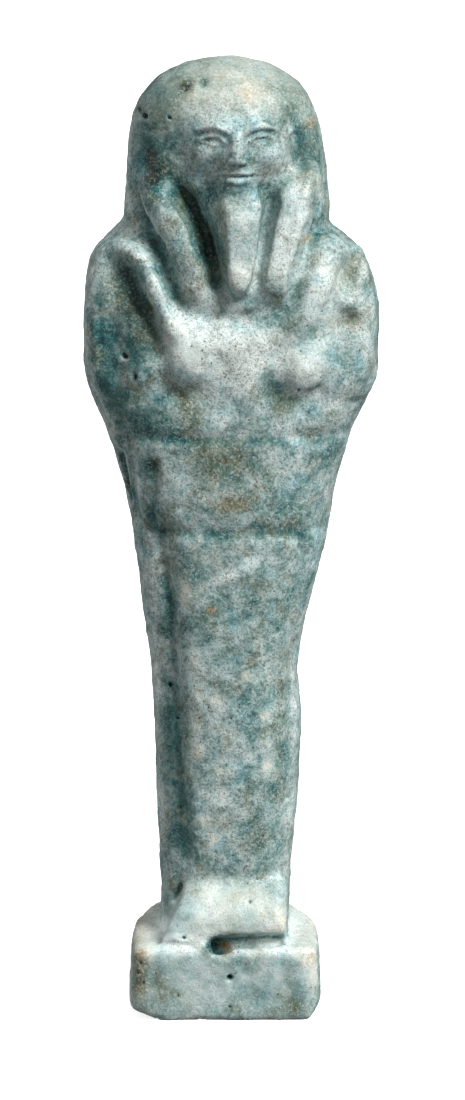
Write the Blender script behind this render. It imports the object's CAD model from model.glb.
import math

import bmesh
import bpy
import numpy as np
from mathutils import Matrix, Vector, kdtree


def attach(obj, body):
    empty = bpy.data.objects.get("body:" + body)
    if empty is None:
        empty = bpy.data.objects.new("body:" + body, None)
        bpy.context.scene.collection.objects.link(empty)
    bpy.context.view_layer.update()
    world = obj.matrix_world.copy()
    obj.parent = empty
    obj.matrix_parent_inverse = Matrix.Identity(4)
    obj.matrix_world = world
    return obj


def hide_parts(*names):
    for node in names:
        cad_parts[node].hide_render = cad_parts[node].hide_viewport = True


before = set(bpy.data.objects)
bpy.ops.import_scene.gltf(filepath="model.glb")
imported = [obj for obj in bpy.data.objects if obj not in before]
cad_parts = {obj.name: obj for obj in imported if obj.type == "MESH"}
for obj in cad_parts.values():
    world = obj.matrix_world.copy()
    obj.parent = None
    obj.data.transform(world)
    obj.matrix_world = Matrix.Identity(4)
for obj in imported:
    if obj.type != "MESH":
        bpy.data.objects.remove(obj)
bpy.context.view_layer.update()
mm = 0.001
halfWay = 0.5         # each round of smoothing moves a point half way to the middle of its neighbours
frontShare = 2.0      # strokes press fully on what faces forward by half or more
spotFill = 1.4        # soft spots are full over their middle, not only at it

# Places below are millimetres in the frame: x to the viewer's right, z up from the plinth's underside.


def shapedBy(mesh, kind, **settings):
    # the mesh as one modifier leaves it
    holder = bpy.data.objects.new('holder', mesh)
    bpy.context.scene.collection.objects.link(holder)
    modifier = holder.modifiers.new(kind.lower(), kind)
    for name, value in settings.items():
        setattr(modifier, name, value)
    result = bpy.data.meshes.new_from_object(holder.evaluated_get(bpy.context.evaluated_depsgraph_get()))
    bpy.data.objects.remove(holder)
    bpy.data.meshes.remove(mesh)
    return result


def readMesh(mesh):
    # points in millimetres and normals, as arrays
    count = len(mesh.vertices)
    points = np.empty(count * 3, dtype=np.float32)
    normals = np.empty(count * 3, dtype=np.float32)
    mesh.vertices.foreach_get('co', points)
    mesh.vertex_normals.foreach_get('vector', normals)
    return points.reshape(-1, 3) / mm, normals.reshape(-1, 3)


def writeMesh(mesh, points):
    mesh.vertices.foreach_set('co', (points * mm).astype(np.float32).ravel())
    mesh.update()


def strokeWeight(x, z, path, halfWidth):
    # 1 on the path, fading over the half width and towards both ends
    fade = 0.6
    lengths = [math.dist(start, end) for start, end in zip(path, path[1:])]
    total = sum(lengths)
    nearest = np.full(x.shape, np.inf)
    along = np.zeros(x.shape)
    travelled = 0.0
    for (x0, z0), (x1, z1), length in zip(path, path[1:], lengths):
        t = np.clip(((x - x0) * (x1 - x0) + (z - z0) * (z1 - z0)) / length ** 2, 0.0, 1.0)
        reach = np.hypot(x - x0 - t * (x1 - x0), z - z0 - t * (z1 - z0))
        closer = reach < nearest
        nearest = np.where(closer, reach, nearest)
        along = np.where(closer, travelled + t * length, along)
        travelled += length
    ends = np.clip((np.minimum(along, total - along) / halfWidth + fade) / (1.0 + fade), 0.0, 1.0)
    return np.exp(-(nearest / halfWidth) ** 2) * ends


def spotWeight(x, z, spot):
    # spot: x, z, half width, half height, turn in degrees
    turn = math.radians(spot[4] if len(spot) > 4 else 0.0)
    across = (x - spot[0]) * math.cos(turn) + (z - spot[1]) * math.sin(turn)
    up = (z - spot[1]) * math.cos(turn) - (x - spot[0]) * math.sin(turn)
    return np.exp(-(across / spot[2]) ** 2 - (up / spot[3]) ** 2)


def press(mesh, strokes, spots):
    # presses strokes and spots into the front; the last number is the depth, negative raises
    points, normals = readMesh(mesh)
    x, z = points[:, 0], points[:, 2]
    inward = np.zeros(len(points))
    for path, halfWidth, depth in strokes:
        inward += depth * strokeWeight(x, z, path, halfWidth)
    for spot, depth in spots:
        inward += depth * spotWeight(x, z, spot)
    facing = np.clip(-normals[:, 1] * frontShare, 0.0, 1.0)
    writeMesh(mesh, points - normals * (inward * facing)[:, None])


def softened(mesh, rounds):
    # points and normals after some rounds of smoothing, the mesh itself as it was
    soft = shapedBy(mesh.copy(), 'SMOOTH', factor=halfWay, iterations=rounds)
    points, normals = readMesh(soft)
    bpy.data.meshes.remove(soft)
    return points, normals


def soften(mesh, rounds, spots):
    # takes the last flats out of broad curves
    points = readMesh(mesh)[0]
    softPoints = softened(mesh, rounds)[0]
    share = np.clip(spotFill * sum(spotWeight(points[:, 0], points[:, 2], spot) for spot in spots), 0.0, 1.0)
    writeMesh(mesh, points + (softPoints - points) * share[:, None])


# A stroke is its path, half width and depth; a spot is its x, z, half width, half height and turn, and its
# depth. A depth below zero stands out.
bodyStrokes = [
    # step and ridge of the mould's left side
    (((-12.0, 65.4), (-11.4, 62.6), (-10.95, 60.4), (-10.7, 58.8)), 0.45, 0.75),
    (((-10.9, 67.0), (-10.7, 64.2), (-10.6, 61.4), (-10.3, 58.2)), 0.42, -0.3),
    # seams of the mould down both arms
    (((-13.0, 89.0), (-14.4, 86.4), (-14.7, 83.2), (-14.6, 79.8), (-14.4, 75.4), (-13.6, 70.6)), 0.22, -0.12),
    (((-13.6, 86.0), (-14.1, 83.0), (-14.0, 79.8), (-13.8, 75.4)), 0.4, 0.12),
    (((14.6, 88.8), (16.2, 84.6), (16.6, 79.5), (16.3, 74.6)), 0.25, 0.12),
    # crest of the left handle and of the wrapping's neck
    (((-11.6, 89.3), (-9.3, 88.5), (-7.7, 86.0), (-6.6, 83.3), (-5.9, 80.9)), 0.5, -0.16),
    (((0.2, 77.2), (2.2, 75.8), (1.6, 74.0)), 2.2, -0.3),
    # tools at the right shoulder
    (((15.4, 88.4), (14.5, 86.8), (13.6, 84.9)), 0.85, 0.42),
    (((12.9, 81.2), (14.3, 80.7), (15.6, 81.0)), 1.1, 0.2),
    (((13.7, 87.4), (12.6, 85.0), (11.4, 82.2)), 0.45, -0.2),
    # hollows beside and below the fists
    (((-9.2, 82.9), (-8.2, 80.8), (-7.0, 78.1), (-6.7, 76.0)), 0.9, 0.35),
    (((-6.8, 74.4), (-4.6, 72.6), (-2.4, 73.4)), 1.0, 0.28),
    (((4.2, 74.2), (6.2, 72.4), (8.6, 71.6)), 1.0, 0.18),
    # two level lines
    (((-9.6, 67.8), (-3.9, 67.7), (1.7, 67.6), (7.3, 67.7), (12.8, 67.4)), 0.45, 0.07),
    (((-9.0, 56.6), (-5.5, 56.8), (1.7, 56.8), (9.6, 56.4)), 0.45, 0.08),
    (((-7.8, 65.4), (-8.0, 61.0), (-8.3, 57.0)), 0.45, 0.3),
    # edges of the leg's front panel
    (((-7.5, 56.1), (-6.4, 49.8), (-6.0, 42.2), (-5.7, 36.0)), 0.5, 0.3),
    (((-6.3, 56.0), (-5.2, 49.8), (-4.7, 42.2), (-4.4, 30.0), (-3.0, 18.6)), 0.5, -0.12),
    (((8.8, 56.3), (7.6, 46.0), (7.3, 36.4), (7.1, 24.6)), 0.3, 0.16),
    (((9.6, 55.4), (8.3, 46.0), (8.0, 38.0)), 0.4, -0.12),
    (((-0.8, 50.9), (3.2, 53.2)), 0.7, -0.13),
    # crevice beside the left foot and the torn skin of clay between toes and plinth
    (((-5.0, 15.0), (-5.6, 13.7), (-6.2, 12.6)), 0.3, 0.6),
    (((-7.6, 8.9), (-5.8, 9.7), (-3.6, 9.2), (-1.6, 8.4)), 0.5, -0.35),
]

# the gap under the toes, open in front, with a hole at its left end
toeStrokes = [
    (((-1.2, 8.95), (2.8, 9.05), (6.9, 9.25)), 0.35, 1.0),
    (((-1.3, 8.8), (0.1, 8.6)), 0.55, 2.6),
]

bodySpots = [
    # fists, breast and the ends of the tools
    ((-4.2, 77.2, 1.6, 1.9, 12.0), -0.5),
    ((-3.0, 73.6, 1.3, 1.5, 0.0), 0.12),
    ((8.7, 75.8, 1.7, 1.9, -8.0), -0.4),
    ((-11.7, 76.9, 1.0, 0.9, 0.0), -0.3),
    ((-10.5, 74.5, 1.0, 0.9, 0.0), -0.25),
    ((-14.0, 83.6, 0.9, 1.3, 0.0), -0.2),
    ((-12.6, 80.2, 1.2, 2.0, 0.0), 0.2),
    ((15.0, 71.2, 0.6, 0.5, 0.0), 0.25),
    # right knee stands out
    ((7.9, 35.0, 1.0, 3.0, 0.0), -0.12),
]

headStrokes = [
    # the wig's edge, and its sides set back behind the face
    (((-8.8, 102.0), (-8.9, 99.0), (-8.4, 96.4)), 1.5, 0.25),
    (((-7.0, 103.2), (-6.7, 100.6), (-6.3, 98.4), (-5.9, 96.6)), 0.5, 0.25),
    (((8.0, 102.6), (8.2, 100.4), (8.4, 98.2)), 0.5, 0.22),
    (((-7.0, 102.6), (-4.8, 105.0), (-2.0, 106.4), (1.4, 106.9), (4.6, 106.2), (7.0, 104.5), (8.1, 102.4)),
     0.4, 0.08),
    (((-10.6, 102.9), (-8.6, 103.4), (-6.8, 103.2)), 0.5, -0.1),
    (((6.9, 102.3), (8.3, 102.9), (9.6, 103.3)), 0.35, -0.25),
    (((7.8, 101.6), (9.0, 101.9)), 0.5, 0.25),
    (((8.6, 100.4), (8.8, 97.4)), 1.0, 0.15),
    # old knocks and a scratch on the crown
    (((-4.9, 107.0), (-3.9, 107.7)), 0.36, 0.6),
    (((-2.6, 107.8), (-2.0, 107.9)), 0.34, 0.6),
    (((2.8, 109.5), (4.8, 109.0), (6.7, 108.1)), 0.2, 0.08),
    # lappets, and the deep gap between the left one and the beard
    (((-6.2, 94.6), (-4.6, 92.2), (-3.6, 89.6), (-2.8, 86.2)), 0.9, -0.55),
    (((-5.3, 96.6), (-4.1, 94.9), (-3.2, 93.0), (-2.0, 90.2), (-1.3, 87.6), (-1.0, 85.4)), 0.65, 0.8),
    (((5.0, 95.4), (4.7, 92.0), (4.2, 89.2), (3.7, 86.0)), 0.6, 0.16),
    (((6.8, 96.4), (6.4, 94.4), (5.9, 92.2), (5.2, 89.6), (4.7, 86.0)), 0.85, -0.5),
    (((9.2, 96.8), (8.4, 93.6), (7.2, 89.8), (6.2, 86.4)), 0.55, -0.2),
    (((10.4, 95.8), (9.6, 92.6), (8.7, 89.6), (7.6, 86.0)), 0.5, 0.2),
    # the beard's flat front
    (((0.4, 88.5), (3.2, 88.5)), 0.25, 0.08),
    (((0.4, 84.2), (2.6, 84.0)), 0.6, 0.2),
    (((0.8, 87.4), (2.8, 87.2)), 0.9, -0.18),
    (((0.2, 95.6), (0.5, 91.0), (0.8, 87.2)), 0.35, -0.12),
    (((4.2, 95.0), (3.7, 91.0), (3.3, 87.2)), 0.35, -0.14),
]


# The face is a plain design of its own: three equal thirds high, five eyes wide
face = {
    'middle': 1.37,
    'chin': 95.6,
    'hairline': 107.0,
    'width': 12.8,
}


def faceStrokes(design):
    third = (design['hairline'] - design['chin']) / 3
    eye = design['width'] / 5
    middle, chin = design['middle'], design['chin']
    eyeLine = design['hairline'] - 1.32 * third
    brow = chin + 2.0 * third
    noseBase = chin + third
    mouth = chin + 0.62 * third
    strokes = [
        (((middle, brow - 0.05 * third), (middle, noseBase + 0.35 * third)), 0.42, -0.26),
        (((middle - 0.4 * eye, noseBase - 0.05 * third), (middle + 0.4 * eye, noseBase - 0.05 * third)),
         0.24, 0.2),
        (((middle, noseBase - 0.12 * third), (middle, mouth + 0.2 * third)), 0.24, 0.1),
        (((middle - 0.75 * eye, mouth), (middle - 0.25 * eye, mouth + 0.03 * third), (middle, mouth),
          (middle + 0.25 * eye, mouth + 0.03 * third), (middle + 0.75 * eye, mouth)), 0.2, 0.36),
        (((middle - 0.4 * eye, chin + 0.36 * third), (middle + 0.4 * eye, chin + 0.36 * third)), 0.34, 0.1),
    ]
    for side in (-1, 1):
        def at(share, height):
            return (middle + side * share * eye, height)
        strokes += [
            ((at(0.3, brow - 0.06 * third), at(1.0, brow + 0.12 * third),
              at(1.85, brow - 0.04 * third)), 0.32, -0.24),
            ((at(0.45, eyeLine - 0.04 * third), at(0.75, eyeLine + 0.14 * third),
              at(1.15, eyeLine + 0.15 * third), at(1.7, eyeLine - 0.01 * third)), 0.2, -0.26),
            ((at(0.5, eyeLine - 0.06 * third), at(0.95, eyeLine - 0.17 * third),
              at(1.6, eyeLine - 0.04 * third)), 0.18, -0.18),
            ((at(0.6, eyeLine + 0.27 * third), at(1.1, eyeLine + 0.31 * third),
              at(1.6, eyeLine + 0.2 * third)), 0.2, 0.14),
            ((at(0.3, noseBase + 0.34 * third), at(0.46, noseBase + 0.08 * third)), 0.2, 0.2),
            ((at(0.52, noseBase - 0.02 * third), at(1.0, mouth + 0.06 * third)), 0.3, 0.1),
            ((at(0.1, mouth + 0.14 * third), at(0.6, mouth + 0.07 * third)), 0.24, -0.2),
            ((at(0.0, mouth - 0.16 * third), at(0.5, mouth - 0.12 * third)), 0.3, -0.12),
        ]
    return strokes


def faceSpots(design):
    third = (design['hairline'] - design['chin']) / 3
    eye = design['width'] / 5
    eyeLine = design['hairline'] - 1.32 * third
    spots = [((design['middle'], design['chin'] + 1.18 * third, 0.55, 0.6), -0.18)]
    for side in (-1, 1):
        x = design['middle'] + side * eye
        spots += [
            ((x, eyeLine, 0.4 * eye, 0.1 * third), -0.16),
            ((design['middle'] + side * 0.18 * eye, design['chin'] + 0.98 * third, 0.2, 0.14), 0.2),
            ((design['middle'] + side * 0.27 * eye, design['chin'] + 1.1 * third, 0.34, 0.34), -0.18),
            ((design['middle'] + side * 0.84 * eye, design['chin'] + 0.6 * third, 0.22, 0.2), 0.1),
            ((design['middle'] + side * 1.35 * eye, design['chin'] + 1.3 * third, 0.8 * eye, 0.3 * third),
             -0.16),
        ]
    return spots


# bubble holes in the glaze: x, z, half width, half height, depth
pores = (
    (-9.0, 103.95, 0.26, 0.26, 0.45), (-9.5, 104.35, 0.26, 0.2, 0.25), (-6.2, 104.1, 0.17, 0.17, 0.35),
    (-11.27, 77.05, 0.27, 0.27, 0.55), (-10.15, 74.9, 0.22, 0.4, 0.55), (-6.3, 38.3, 0.22, 0.24, 0.45),
    (-5.15, 23.9, 0.16, 0.16, 0.3), (-5.35, 34.5, 0.14, 0.14, 0.25), (8.3, 73.5, 0.14, 0.14, 0.25),
    (-9.65, 6.9, 0.13, 0.13, 0.2), (-9.9, 5.7, 0.14, 0.14, 0.2), (-9.35, 4.6, 0.13, 0.13, 0.2),
    (0.56, 5.2, 0.27, 0.27, 0.55), (-5.25, 3.15, 0.13, 0.13, 0.2), (0.56, 1.7, 0.13, 0.13, 0.2),
    (-4.7, 9.75, 0.24, 0.14, 0.3), (2.85, 13.6, 0.15, 0.13, 0.25), (7.0, 102.5, 0.13, 0.24, 0.2),
)


def roughen(mesh, lumps):
    # uneven glaze: soft clouds of a few sizes, pushed in and out
    for size, height in lumps:
        cloud = bpy.data.textures.new('glazeCloud', 'CLOUDS')
        cloud.noise_scale = size * mm
        cloud.noise_depth = 1
        mesh = shapedBy(mesh, 'DISPLACE', texture=cloud, strength=2.0 * height * mm, mid_level=0.5,
                        texture_coords='LOCAL')
    return mesh


def levelUnderside(mesh, flatBelow):
    # what faces down near the ground lies on it, and nothing reaches lower
    points, normals = readMesh(mesh)
    under = (points[:, 2] < flatBelow) & (normals[:, 2] < -0.5)
    points[:, 2] = np.where(under, 0.0, np.maximum(points[:, 2], 0.0))
    writeMesh(mesh, points)


def hollowness(mesh, rounds):
    # how far each point lies below the softened surface, in millimetres
    points = readMesh(mesh)[0]
    softPoints, softNormals = softened(mesh, rounds)
    return ((softPoints - points) * softNormals).sum(axis=1)


def step(values, low, high):
    # 0 at low, 1 at high, with soft ends
    t = np.clip((values - low) / (high - low), 0.0, 1.0)
    return t * t * (3.0 - 2.0 * t)


# where the finish changes over the front: path, half width, strength
finishAreas = {
    # glaze run together
    'pool': (
        (((-8.8, 102.2), (-8.2, 99.0), (-8.2, 95.2)), 2.2, 1.35),
        (((-9.8, 103.0), (-8.6, 106.0), (-6.6, 107.8)), 2.2, 1.3),
        (((-1.6, 13.8), (4.4, 13.2)), 2.0, 0.45),
        (((10.2, 101.6), (9.4, 99.1), (10.4, 96.0)), 1.3, 0.35),
        (((-5.6, 96.6), (-4.4, 94.6), (-3.4, 92.4), (-2.2, 89.6), (-1.3, 86.6)), 1.5, 0.8),
        (((8.4, 101.6), (9.0, 99.6), (9.2, 98.0)), 0.9, 0.7),
        (((-8.6, 92.0), (-7.6, 89.0), (-6.2, 85.4), (-4.4, 82.7)), 0.8, 0.95),
        (((10.6, 91.0), (9.3, 87.8), (8.1, 84.8), (7.2, 83.0)), 0.6, 0.4),
        (((-12.2, 87.6), (-11.0, 85.2), (-9.6, 82.8), (-8.4, 80.6), (-7.2, 77.6)), 1.3, 0.95),
        (((0.4, 84.3), (2.8, 84.1)), 0.7, 0.7),
        (((-14.0, 81.6), (-13.2, 77.6), (-13.4, 74.0), (-12.0, 71.2), (-10.6, 68.6)), 1.7, 1.05),
        (((-10.6, 80.0), (-10.0, 76.6), (-9.8, 73.0)), 1.5, 0.95),
        (((-7.9, 74.2), (-8.2, 70.4), (-8.6, 67.8)), 1.3, 0.5),
        (((4.9, 76.8), (5.3, 74.2), (6.6, 72.0), (8.8, 71.4)), 1.1, 0.8),
        (((-12.0, 66.6), (-11.2, 62.2), (-10.6, 59.4)), 0.6, 0.7),
        (((-8.6, 65.6), (-8.3, 61.0), (-8.3, 57.2)), 0.6, 0.6),
        (((-9.0, 67.7), (-4.0, 67.5), (2.0, 67.4), (12.6, 67.2)), 0.5, 0.75),
        (((-9.0, 56.6), (-7.2, 56.6), (-5.0, 56.8)), 0.6, 0.9),
        (((-5.0, 56.6), (2.0, 56.6), (9.4, 56.2)), 0.5, 0.75),
        (((-7.0, 54.6), (-6.5, 48.6), (-6.1, 43.5), (-6.0, 41.0)), 0.75, 0.4),
        (((-6.0, 37.8), (-5.9, 32.1), (-5.5, 26.9), (-4.5, 21.7), (-4.2, 17.6)), 1.6, 1.0),
        (((2.2, 50.2), (4.0, 51.4), (5.7, 53.6)), 0.9, 0.4),
        (((-4.0, 45.6), (-1.0, 47.8), (2.6, 46.2)), 1.2, 0.35),
        (((-1.8, 43.2), (0.6, 41.4)), 1.3, 0.4),
        (((2.8, 44.4), (4.3, 46.8)), 1.0, 0.3),
        (((11.4, 64.6), (9.6, 63.2), (7.8, 61.0), (7.0, 59.8)), 0.6, 0.5),
    ),
    # crevices where it is nearly black
    'deep': (
        (((-8.6, 101.4), (-8.2, 98.6), (-8.0, 95.6)), 1.6, 0.52),
        (((-5.3, 96.4), (-4.0, 94.6), (-3.0, 92.6), (-1.9, 90.0), (-1.2, 87.6)), 0.8, 0.6),
        (((-12.0, 65.0), (-11.4, 62.6), (-10.95, 60.4), (-10.7, 59.0)), 0.6, 1.2),
        (((-8.2, 65.2), (-8.0, 64.2)), 0.6, 0.8),
        (((-11.6, 87.0), (-10.8, 84.2)), 1.1, 0.7),
        (((-5.1, 14.7), (-5.6, 13.6)), 0.3, 0.8),
        (((-2.0, 8.7), (-0.4, 8.9)), 0.7, 2.6),
        (((-4.9, 107.0), (-3.9, 107.7)), 0.42, 1.5),
        (((-2.5, 107.8), (-2.1, 107.9)), 0.42, 1.6),
        (((8.2, 101.2), (8.9, 101.9)), 0.5, 1.1),
        (((-10.6, 77.4), (-8.6, 76.8)), 1.0, 0.65),
        (((-14.2, 81.2), (-13.6, 79.0)), 1.0, 0.35),
        (((-12.8, 71.8), (-11.8, 70.0)), 1.1, 0.4),
        (((0.2, 9.3), (6.6, 9.5)), 0.42, 1.0),
    ),
    # glaze rubbed thin over what stands out
    'thin': (
        (((-2.8, 108.8), (1.2, 109.0), (5.0, 108.0)), 2.2, 0.2),
        (((1.6, 106.0), (2.0, 105.0)), 2.4, 0.3),
        (((1.8, 95.2), (1.9, 91.0), (1.8, 86.6)), 1.2, 0.38),
        (((1.8, 88.0), (1.8, 85.8)), 1.3, 0.95),
        (((-3.7, 86.6), (-2.9, 84.4)), 0.9, 0.8),
        (((-7.4, 94.4), (-5.4, 91.4), (-3.9, 88.2), (-2.7, 84.6)), 0.7, 0.2),
        (((6.4, 94.8), (5.8, 91.6), (4.9, 87.0)), 0.9, 0.45),
        (((4.6, 94.9), (4.4, 92.0), (3.9, 89.3), (3.5, 86.6)), 0.7, 0.4),
        (((9.2, 97.4), (8.3, 94.4), (7.2, 90.6), (6.0, 85.8)), 1.1, 0.75),
        (((-11.9, 89.4), (-9.7, 88.7), (-8.0, 85.9), (-6.7, 83.0), (-5.6, 80.7)), 0.6, 0.35),
        (((-5.0, 81.2), (-2.8, 80.0), (0.0, 79.0), (4.2, 78.4), (7.2, 80.4)), 1.2, 0.45),
        (((-0.4, 79.6), (1.8, 77.6), (1.4, 75.4), (0.4, 73.4)), 2.6, 1.2),
        (((12.0, 76.4), (13.2, 72.4), (11.0, 69.6)), 1.8, 0.35),
        (((0.6, 72.4), (-0.6, 69.4)), 1.6, 0.35),
        (((10.8, 88.6), (11.7, 86.0), (10.4, 83.6), (12.3, 79.5), (13.4, 77.6)), 1.7, 0.6),
        (((-6.0, 80.2), (-4.0, 77.8), (-2.4, 75.6)), 1.8, 1.4),
        (((6.4, 78.8), (8.7, 76.0), (9.8, 74.0)), 1.9, 1.3),
        (((15.4, 86.4), (16.0, 82.0), (16.3, 76.4)), 0.9, 0.35),
        (((-11.9, 77.1), (-11.0, 76.6)), 0.9, 0.6),
        (((-12.6, 74.6), (-10.4, 74.4)), 0.8, 0.4),
        (((-1.4, 51.0), (1.2, 52.2), (4.0, 53.8)), 0.75, 0.7),
        (((-1.2, 37.4), (0.6, 32.6), (0.0, 26.6), (-1.2, 19.4)), 1.8, 0.2),
        (((7.7, 42.0), (8.1, 36.0), (8.0, 29.0), (7.5, 20.8)), 0.7, 0.35),
        (((-8.3, 53.0), (-8.0, 46.0), (-7.7, 36.0), (-7.5, 26.6), (-7.2, 18.2)), 0.55, 0.3),
        (((-6.2, 10.6), (0.0, 10.4), (6.6, 10.4)), 1.2, 0.3),
        (((-11.6, 9.0), (0.0, 8.9), (11.6, 8.9)), 1.0, 0.75),
        (((-9.0, 4.6), (0.0, 4.6), (9.0, 4.6)), 3.6, 0.15),
    ),
    # dirt in the glaze
    'olive': (
        (((-6.2, 74.0), (-4.5, 72.4), (-3.4, 70.2), (-5.0, 68.6)), 1.2, 1.1),
        (((4.8, 74.2), (6.2, 72.6), (7.3, 71.2)), 1.1, 1.0),
        (((-11.8, 87.2), (-11.0, 84.4), (-9.8, 81.6), (-8.0, 78.4)), 1.7, 1.4),
        (((-4.9, 107.0), (-3.8, 107.8)), 0.8, 1.0),
        (((-9.8, 103.4), (-8.4, 106.0)), 1.6, 0.7),
        (((-5.4, 96.4), (-3.4, 92.6), (-1.6, 87.6), (-1.0, 85.0)), 1.3, 1.0),
        (((-9.0, 104.0), (-4.0, 107.6), (1.6, 108.6), (6.0, 107.6), (9.0, 104.6)), 2.4, 0.5),
        (((-4.2, 67.8), (0.4, 67.5), (3.2, 67.6)), 0.6, 0.6),
        (((-3.4, 66.6), (-1.0, 65.3), (0.8, 65.4), (1.6, 64.0)), 1.3, 1.7),
        (((-2.6, 63.5), (-0.4, 63.6)), 1.2, 1.3),
        (((-1.2, 60.4), (1.0, 60.3), (3.0, 60.6)), 1.1, 1.2),
        (((4.4, 64.4), (6.2, 63.8)), 0.8, 0.4),
        (((-8.0, 65.4), (-7.7, 63.6)), 0.75, 1.3),
        (((15.4, 88.4), (14.4, 86.6), (13.4, 84.6)), 1.3, 0.8),
        (((12.6, 81.0), (14.4, 80.6), (15.8, 80.8)), 1.4, 0.7),
        (((5.0, 104.6), (7.6, 105.0), (9.0, 103.6)), 1.2, 0.45),
        (((9.6, 102.0), (9.0, 99.6), (9.8, 96.0)), 1.6, 0.75),
        (((-6.8, 93.6), (-5.0, 90.6)), 1.0, 0.4),
        (((-9.6, 104.6), (-9.0, 104.0)), 0.5, 0.9),
        (((-10.2, 8.6), (-9.6, 6.4), (-9.8, 2.4)), 0.9, 1.2),
        (((-7.6, 5.8), (-6.9, 3.0), (-5.0, 3.2)), 0.9, 1.2),
        (((7.0, 3.0), (8.8, 1.0)), 1.1, 1.3),
        (((-4.6, 54.0), (-2.0, 53.6), (-0.6, 51.0)), 1.2, 0.35),
        (((6.8, 43.8), (6.5, 39.0), (6.3, 32.0), (6.0, 26.2)), 0.9, 0.5),
        (((-4.6, 57.0), (2.0, 56.9), (9.2, 56.5)), 0.5, 0.4),
        (((2.0, 20.0), (4.0, 23.0)), 1.2, 0.3),
    ),
    # salts and bare paste
    'cream': (
        (((-4.0, 107.0), (1.6, 108.0), (6.0, 106.6)), 2.6, 0.25),
        (((-4.0, 14.0), (3.0, 13.4), (6.6, 11.6)), 2.2, 0.5),
        (((6.4, 12.6), (6.3, 10.4)), 0.7, 0.9),
        (((8.6, 8.0), (10.4, 7.0)), 0.8, 1.2),
        (((9.9, 7.0), (10.2, 3.8)), 0.7, 0.8),
        (((-10.4, 8.0), (-8.0, 8.2)), 0.7, 0.5),
        (((0.8, 86.6), (2.6, 86.8)), 1.2, 0.5),
        (((2.4, 106.9), (2.9, 106.7)), 0.9, 1.1),
        (((2.3, 40.1), (2.6, 40.0)), 0.6, 1.7),
        (((-1.1, 37.1), (-0.8, 37.0)), 0.6, 1.7),
        (((4.4, 35.4), (4.6, 35.1)), 0.6, 1.7),
        (((-0.7, 28.9), (-0.6, 28.6)), 0.5, 1.5),
        (((-3.2, 30.6), (-3.1, 31.4)), 0.7, 1.3),
        (((-0.3, 26.2), (0.1, 25.8)), 0.5, 1.3),
        (((4.5, 29.8), (5.0, 28.8)), 0.5, 1.4),
        (((-2.7, 23.0), (-2.3, 22.7)), 0.7, 1.2),
        (((-1.4, 20.8), (-1.2, 20.4)), 0.5, 1.3),
        (((-4.6, 51.4), (-4.4, 48.4)), 0.8, 0.75),
        (((-3.4, 44.4), (-3.2, 33.0)), 0.7, 0.35),
    ),
    # evenly glazed, with little mottling
    'calm': (
        (((-9.4, 103.4), (-4.0, 107.6), (1.6, 108.8), (6.0, 107.6), (9.4, 103.4)), 3.0, 0.65),
        (((1.8, 95.6), (1.8, 85.6)), 1.8, 0.6),
        (((9.2, 97.4), (7.6, 91.6), (6.0, 85.8)), 1.8, 0.45),
        (((0.6, 79.6), (1.2, 74.4)), 3.0, 0.3),
        (((-6.0, 80.2), (-4.0, 77.8), (-2.4, 75.6)), 2.0, 1.0),
        (((6.4, 78.8), (8.7, 76.0), (9.8, 74.0)), 2.2, 0.9),
        (((12.4, 88.6), (10.6, 84.0), (12.6, 78.4)), 2.2, 0.4),
        (((-11.4, 10.4), (0.0, 12.4), (11.4, 10.4)), 2.8, 1.0),
        (((-11.0, 4.4), (0.0, 4.4), (11.0, 4.4)), 4.4, 1.0),
    ),
    # iron stains and chips
    'rust': (
        (((-1.7, 47.8), (-1.3, 47.9)), 0.45, 2.4),
        (((9.0, 90.5), (9.2, 90.2)), 0.42, 1.9),
        (((10.9, 90.3), (11.1, 90.2)), 0.2, 0.5),
        (((2.4, 106.9), (2.8, 106.8)), 0.6, 0.8),
        (((9.4, 103.0), (9.8, 103.0)), 0.5, 1.4),
        (((-0.4, 8.3), (0.4, 8.2)), 0.44, 2.5),
        (((-8.0, 104.6), (0.0, 108.4), (8.0, 104.6)), 3.2, 0.08),
        (((1.8, 95.4), (1.8, 85.6)), 1.4, 0.06),
        (((-10.0, 8.1), (-9.0, 7.6)), 0.6, 0.7),
        (((-9.8, 7.0), (-9.9, 3.0)), 0.7, 0.3),
        (((9.6, 8.2), (10.2, 7.4)), 0.6, 0.5),
        (((15.2, 88.0), (14.4, 86.6), (13.6, 84.8)), 1.1, 0.22),
        (((13.0, 81.0), (14.4, 80.6), (15.4, 80.8)), 1.2, 0.2),
        (((-1.0, 60.4), (1.0, 60.3), (2.8, 60.6)), 0.9, 0.34),
    ),
}


wear = {
    'rounds': {'fine': 6, 'middle': 60, 'broad': 400},    # smoothing that a hollow's depth is taken from
    # where glaze pools and rubs off: finish, kind of hollow, depth in millimetres from and to, strength
    'hollows': (
        ('pool', 'middle', 0.02, 0.3, 0.6),
        ('pool', 'broad', 0.05, 0.9, 0.5),
        ('deep', 'broad', 0.8, 2.0, 0.6),
        ('deep', 'fine', 0.04, 0.16, 0.5),
        ('worn', 'middle', -0.03, -0.25, 0.5),
        ('worn', 'fine', -0.004, -0.03, 0.3),
    ),
    'upward': 0.7,            # what faces up counts as front by this much
    'front': (0.1, 0.5),      # the painted finish fades in between these
    'pore': 1.5,              # how dark the bubble holes are
    'overPool': 0.9,          # how far rubbed glaze hides a pool under it
    'most': {'deep': 2.0},    # the others end at 1
}
finishNames = ('pool', 'deep', 'worn', 'thin', 'olive', 'cream', 'calm', 'rust')


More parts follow.
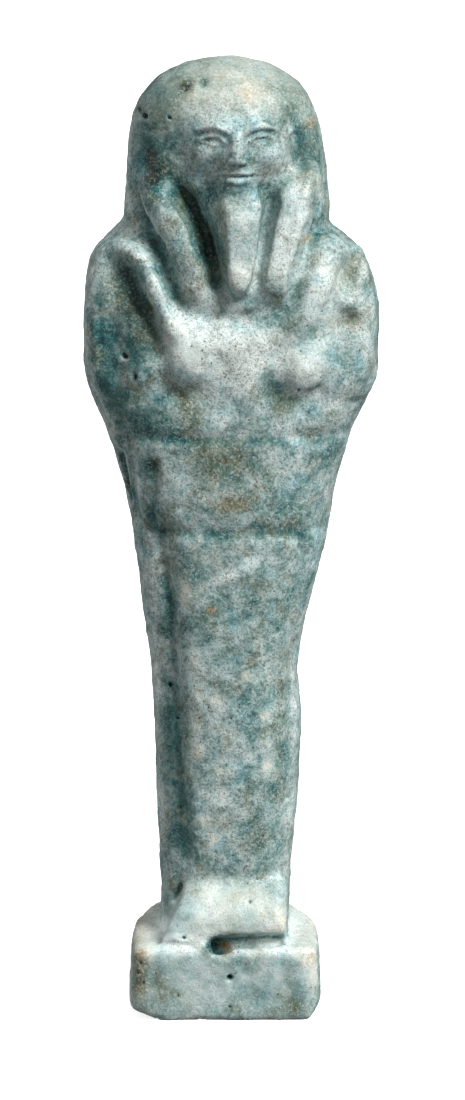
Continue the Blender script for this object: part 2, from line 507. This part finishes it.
def paintFinish(dense, mesh):
    # measures hollows and rubbed edges on the dense mesh and writes them to the finished one
    points, normals = readMesh(dense)
    x, z = points[:, 0], points[:, 2]
    depths = {kind: hollowness(dense, rounds) for kind, rounds in wear['rounds'].items()}
    facing = step(wear['upward'] * normals[:, 2] - normals[:, 1], *wear['front'])
    values = {name: np.zeros(len(points)) for name in finishNames}
    for name, kind, start, end, strength in wear['hollows']:
        values[name] += strength * step(depths[kind], start, end)
    for name, areas in finishAreas.items():
        for path, halfWidth, strength in areas:
            values[name] += strength * facing * strokeWeight(x, z, path, halfWidth)
    for pore in pores:
        values['deep'] += wear['pore'] * facing * spotWeight(x, z, pore[:4])
    sheltered = 1.0 - np.clip(values['deep'], 0.0, 1.0)
    values['thin'] *= sheltered
    values['cream'] *= sheltered
    values['pool'] *= 1.0 - wear['overPool'] * np.clip(values['thin'], 0.0, 1.0)
    finder = kdtree.KDTree(len(points))
    for index, point in enumerate(points):
        finder.insert(point, index)
    finder.balance()
    nearest = np.array([finder.find(place)[1] for place in readMesh(mesh)[0]])
    for name, value in values.items():
        layer = mesh.attributes.new(name, 'FLOAT', 'POINT')
        most = wear['most'].get(name, 1.0)
        layer.data.foreach_set('value', np.clip(value, 0.0, most)[nearest].astype(np.float32))


figurine = {
    'node': 'ushabti_figurine',
    'slot': 'faience',
    'cell': 0.2,             # grid that the clay is remade on
    'samePlace': 0.0005,     # points of the solid nearer than this are one
    'facetRounds': 28,       # smoothing that takes the solid's facets away
    'roundSpots': (          # rounder still: x, z, half width, half height
        (0.0, 110.5, 16.0, 6.0),
        (16.4, 72.6, 2.4, 2.8),
        (-15.0, 71.0, 2.4, 3.4),
    ),
    'roundSpotRounds': 90,
    'glazeRounds': 2,        # softening of the fine carving, as glaze does
    'lumps': ((3.2, 0.16), (1.1, 0.07), (0.5, 0.035)),    # size and height of the uneven glaze
    'poreDepth': 1.7,        # how much deeper the bubble holes are pressed than listed
    'flatBelow': 0.12,       # the underside is level up to here
    'triangles': 190000,
}


def buildFigurine():
    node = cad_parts[figurine['node']]
    body = bmesh.new()
    body.from_mesh(node.data)
    bmesh.ops.remove_doubles(body, verts=body.verts[:], dist=figurine['samePlace'] * mm)
    mesh = bpy.data.meshes.new('ushabtiFigurine')
    body.to_mesh(mesh)
    body.free()
    mesh.transform(node.matrix_world)
    cell = figurine['cell'] * mm
    mesh = shapedBy(mesh, 'REMESH', mode='VOXEL', voxel_size=cell)
    mesh = shapedBy(mesh, 'SMOOTH', factor=halfWay, iterations=figurine['facetRounds'])
    soften(mesh, figurine['roundSpotRounds'], figurine['roundSpots'])
    print('clay remade:', len(mesh.vertices), 'points')
    press(mesh, bodyStrokes + toeStrokes + headStrokes, bodySpots)
    mesh = shapedBy(mesh, 'REMESH', mode='VOXEL', voxel_size=cell)
    mesh = shapedBy(mesh, 'SMOOTH', factor=halfWay, iterations=figurine['glazeRounds'])
    press(mesh, faceStrokes(face), faceSpots(face))
    mesh = roughen(mesh, figurine['lumps'])
    press(mesh, [], [(pore[:4], figurine['poreDepth'] * pore[4]) for pore in pores])
    levelUnderside(mesh, figurine['flatBelow'])
    print('carved:', len(mesh.vertices), 'points')
    dense = mesh.copy()
    triangles = sum(len(polygon.vertices) - 2 for polygon in mesh.polygons)
    mesh = shapedBy(mesh, 'DECIMATE', ratio=figurine['triangles'] / triangles, use_collapse_triangulate=True)
    paintFinish(dense, mesh)
    bpy.data.meshes.remove(dense)
    mesh.name = 'ushabtiFigurine'
    mesh.materials.clear()
    mesh.materials.append(faience())
    mesh.shade_smooth()
    piece = bpy.data.objects.new('ushabtiFigurine', mesh)
    bpy.context.scene.collection.objects.link(piece)
    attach(piece, 'root')
    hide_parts(figurine['node'])
    print('figurine:', len(mesh.polygons), 'triangles')


def toLinear(hexColour):
    # sRGB hex to the linear values that Blender's sockets take
    channels = [int(hexColour[i:i + 2], 16) / 255.0 for i in (1, 3, 5)]
    return [c / 12.92 if c <= 0.04045 else ((c + 0.055) / 1.055) ** 2.4 for c in channels] + [1.0]


def addNode(tree, kind, settings={}, inputs={}, output=0):
    # one node with its settings and links; an input is a value or another node's output
    node = tree.nodes.new(kind)
    for name, value in settings.items():
        setattr(node, name, value)
    for name, value in inputs.items():
        if isinstance(value, bpy.types.NodeSocket):
            tree.links.new(value, node.inputs[name])
        else:
            node.inputs[name].default_value = value
    return node.outputs[output]


def cellsOf(size):
    # texture scale whose cells measure the given millimetres
    return 1.0 / (size * mm)


calmed = ('calm', 0.0, 1.0, 1.0, 0.45)      # evenly glazed parts are less mottled
smoothed = ('pale', 0.0, 1.0, 1.0, 0.5)     # and pale ones less gritty
faienceLook = {
    # glaze from rubbed through to pooled: depth, colour
    'glaze': ((0.0, '#e0eae5'), (0.22, '#bfcfcc'), (0.4, '#98b1ad'), (0.55, '#698b86'), (0.72, '#226a6a'),
              (1.0, '#0d2619')),
    'olive': '#6b6c4c',       # dirt in the glaze's patches
    'dirt': '#a39a74',        # dirt over the glaze
    'blue': '#7db2c4',        # fresher copper blue
    'buff': '#b6bab1',        # paste showing through
    'cream': '#ddd8c6',       # salts and bare paste
    'rust': '#9c7a44',
    'grain': '#d2dfdf',       # quartz
    'gap': '#4d5a55',         # between the grains
    'prick': '#1d2a24',       # pinholes and the darkest crevices
    # noises: size in millimetres, detail, distortion, shift. Quartz grains are 0.1 to 0.3 mm and are drawn
    # at the coarse end, so that they show.
    'noises': {
        'patches': (5.0, 3.0, 0.4, 0.0),
        'blotches': (1.8, 4.0, 0.4, 0.1),
        'flecks': (0.7, 3.0, 0.3, 0.2),
        'grains': (0.3, 2.0, 0.6, 0.0),
        'grit': (0.18, 2.0, 0.0, 0.0),
        'drift': (2.7, 3.0, 0.5, 0.3),
        'paste': (1.62, 3.0, 0.4, 0.5),
    },
    'noiseRoughness': 0.6,
    'pinholeSpacing': 1.1,
    # A range is a pattern, where it starts and ends, and what it is worth there. Ranges in one list multiply.
    # Depth of the glaze, which the next two add up: noise, and what is painted on the figure
    'unevenDepth': (
        [('patches', 0.3, 0.7, 0.24, 0.58)],
        [('blotches', 0.25, 0.75, -0.25, 0.25), calmed],
        [('flecks', 0.25, 0.75, -0.15, 0.15), calmed],
        [('grains', 0.25, 0.75, -0.17, 0.17)],
    ),
    'paintedDepth': (
        [('pool', 0.0, 1.0, 0.0, 0.27)],
        [('deep', 0.0, 1.0, 0.0, 0.4)],
        [('worn', 0.0, 1.0, 0.0, -0.22)],
        [('thin', 0.0, 1.0, 0.0, -0.5)],
        [('cream', 0.0, 1.0, 0.0, -0.3)],
    ),
    # colours laid over the glaze, one after another
    'layers': (
        ('blue', 'OVERLAY', [('drift', 0.52, 0.68, 0.0, 0.5), calmed]),
        ('olive', 'MIX', [('drift', 0.46, 0.34, 0.0, 0.5), calmed]),
        ('buff', 'MIX', [('paste', 0.52, 0.7, 0.0, 1.0), calmed, ('sunken', 0.0, 0.8, 0.45, 0.0)]),
        ('dirt', 'MULTIPLY', [('olive', 0.0, 1.0, 0.0, 1.0), ('flecks', 0.35, 0.62, 1.0, 0.5)]),
        ('cream', 'MIX', [('cream', 0.0, 1.0, 0.0, 1.0), ('flecks', 0.38, 0.58, 0.35, 0.95)]),
        ('rust', 'MIX', [('rust', 0.0, 1.0, 0.0, 1.0)]),
        ('gap', 'MULTIPLY', [('grains', 0.36, 0.5, 0.62, 0.0), smoothed]),
        ('grain', 'MIX', [('grains', 0.53, 0.67, 0.0, 0.52), ('pool', 0.0, 1.0, 1.0, 0.45)]),
        ('prick', 'MIX', [('grit', 0.36, 0.46, 0.48, 0.0), smoothed]),
        ('prick', 'MIX', [('pinholes', 0.08, 0.13, 0.8, 0.0), ('patches', 0.46, 0.52, 0.0, 1.0)]),
        ('prick', 'MIX', [('deep', 1.4, 1.9, 0.0, 0.85)]),
    ),
    'roughness': [('flecks', 0.35, 0.65, 0.36, 0.6)],
    'ior': 1.5,
    'relief': (('grains', 0.06), ('grit', 0.04)),      # height in millimetres
    'reliefStrength': 0.8,
}


def faience():
    # Egyptian faience: pressed quartz paste with a self-formed alkaline copper glaze, worn and buried.
    # To the eye: gritty mottled blue-green, deep teal where the glaze ran together, cream where rubbed.
    look = faienceLook
    material = bpy.data.materials.new('wornFaience')
    material.use_nodes = True
    tree = material.node_tree
    shader = tree.nodes['Principled BSDF']
    where = addNode(tree, 'ShaderNodeTexCoord', output='Object')
    patterns = {name: addNode(tree, 'ShaderNodeAttribute', {'attribute_name': name}, output='Fac')
                for name in finishNames}
    for name, (size, detail, distortion, shift) in look['noises'].items():
        moved = addNode(tree, 'ShaderNodeVectorMath', {'operation': 'ADD'}, {
            0: where, 1: (shift, shift, 0.0)})
        patterns[name] = addNode(tree, 'ShaderNodeTexNoise', {}, {
            'Vector': moved, 'Scale': cellsOf(size), 'Detail': detail, 'Roughness': look['noiseRoughness'],
            'Distortion': distortion}, 'Fac')
    patterns['pinholes'] = addNode(tree, 'ShaderNodeTexVoronoi', {}, {
        'Vector': where, 'Scale': cellsOf(look['pinholeSpacing'])}, 'Distance')
    for name, first, second in (('sunken', 'pool', 'deep'), ('pale', 'cream', 'calm')):
        patterns[name] = addNode(tree, 'ShaderNodeMath', {'operation': 'ADD'}, {
            0: patterns[first], 1: patterns[second]})

    def worth(ranges, clamp=True):
        # product of what the ranges are worth
        product = None
        for name, start, end, least, most in ranges:
            value = addNode(tree, 'ShaderNodeMapRange', {'clamp': clamp}, {
                'Value': patterns[name], 'From Min': start, 'From Max': end, 'To Min': least, 'To Max': most})
            if product is None:
                product = value
            else:
                product = addNode(tree, 'ShaderNodeMath', {'operation': 'MULTIPLY'}, {0: product, 1: value})
        return product

    parts = [worth(ranges, False) for ranges in look['unevenDepth']]
    parts += [worth(ranges) for ranges in look['paintedDepth']]
    depth = parts[0]
    for part in parts[1:]:
        depth = addNode(tree, 'ShaderNodeMath', {'operation': 'ADD'}, {0: depth, 1: part})
    colour = toLinear(look['glaze'][0][1])
    for (start, _), (end, tone) in zip(look['glaze'], look['glaze'][1:]):
        share = addNode(tree, 'ShaderNodeMapRange', {}, {'Value': depth, 'From Min': start, 'From Max': end})
        colour = addNode(tree, 'ShaderNodeMix', {'data_type': 'RGBA'}, {
            0: share, 6: colour, 7: toLinear(tone)}, 2)
    for tone, kind, ranges in look['layers']:
        colour = addNode(tree, 'ShaderNodeMix', {'data_type': 'RGBA', 'blend_type': kind}, {
            0: worth(ranges), 6: colour, 7: toLinear(look[tone])}, 2)
    tree.links.new(colour, shader.inputs['Base Color'])
    tree.links.new(worth(look['roughness']), shader.inputs['Roughness'])
    shader.inputs['IOR'].default_value = look['ior']
    relief = {'Strength': look['reliefStrength']}
    for name, height in look['relief']:
        relief |= {'Height': patterns[name], 'Distance': height * mm}
        relief['Normal'] = addNode(tree, 'ShaderNodeBump', {}, relief)
    tree.links.new(relief['Normal'], shader.inputs['Normal'])
    return material


studio = {
    'floorRadius': 2.5,          # metres
    'floor': '#f4f4f2',
    'floorGlow': 0.72,           # the pale table is lit through from below
    'ambient': 0.26,             # light of the white surroundings
    'suns': (                    # name, strength, where it comes from, softness in degrees
        ('keyLight', 4.5, (0.5, -0.48, 0.72), 22.0),
        ('rimLight', 1.0, (-0.85, 0.35, 0.35), 50.0),
    ),
    'aim': (0.00085, 0.0, 0.0529),    # metres
    'distance': 0.8,
    'elevation': 14.0,           # degrees
    'sensor': 36.0,              # millimetres, upright
    'focalLength': 229.6,
    'nearest': 0.01,             # metres, the closest that the camera sees
}


def buildFloor():
    body = bmesh.new()
    bmesh.ops.create_circle(body, cap_ends=True, segments=64, radius=studio['floorRadius'])
    mesh = bpy.data.meshes.new('studioFloor')
    body.to_mesh(mesh)
    body.free()
    material = bpy.data.materials.new('backlitAcrylic')
    material.use_nodes = True
    shader = material.node_tree.nodes['Principled BSDF']
    shader.inputs['Base Color'].default_value = toLinear(studio['floor'])
    shader.inputs['Roughness'].default_value = 0.9
    shader.inputs['Emission Color'].default_value = (1.0, 1.0, 1.0, 1.0)
    shader.inputs['Emission Strength'].default_value = studio['floorGlow']
    mesh.materials.append(material)
    floor = bpy.data.objects.new('studioFloor', mesh)
    bpy.context.scene.collection.objects.link(floor)
    floor.visible_diffuse = False     # a black card stands under the figure, so the table throws no light up
    floor.visible_glossy = False


def addSun(name, strength, comesFrom, softness):
    lamp = bpy.data.lights.new(name, 'SUN')
    lamp.energy = strength
    lamp.angle = math.radians(softness)
    holder = bpy.data.objects.new(name, lamp)
    holder.rotation_euler = Vector(comesFrom).to_track_quat('Z', 'Y').to_euler()
    bpy.context.scene.collection.objects.link(holder)


def buildStudio():
    buildFloor()
    for sun in studio['suns']:
        addSun(*sun)
    world = bpy.data.worlds.new('paleStudio')
    bpy.context.scene.world = world
    world.use_nodes = True
    tree = world.node_tree
    background = tree.nodes['Background']
    background.inputs['Color'].default_value = (1.0, 1.0, 1.0, 1.0)
    seen = addNode(tree, 'ShaderNodeLightPath', output='Is Camera Ray')
    level = addNode(tree, 'ShaderNodeMapRange', {}, {
        'Value': seen, 'To Min': studio['ambient'], 'To Max': 1.0})
    tree.links.new(level, background.inputs['Strength'])
    camera = bpy.data.cameras.new('photoCamera')
    camera.sensor_fit = 'VERTICAL'
    camera.sensor_height = studio['sensor']
    camera.lens = studio['focalLength']
    camera.clip_start = studio['nearest']
    holder = bpy.data.objects.new('photoCamera', camera)
    up = math.radians(studio['elevation'])
    back = Vector((0.0, -math.cos(up), math.sin(up)))
    holder.location = Vector(studio['aim']) + back * studio['distance']
    holder.rotation_euler = back.to_track_quat('Z', 'Y').to_euler()
    bpy.context.scene.collection.objects.link(holder)
    bpy.context.scene.camera = holder
    bpy.context.scene.view_settings.view_transform = 'Standard'
    print('studio ready')


buildFigurine()
buildStudio()
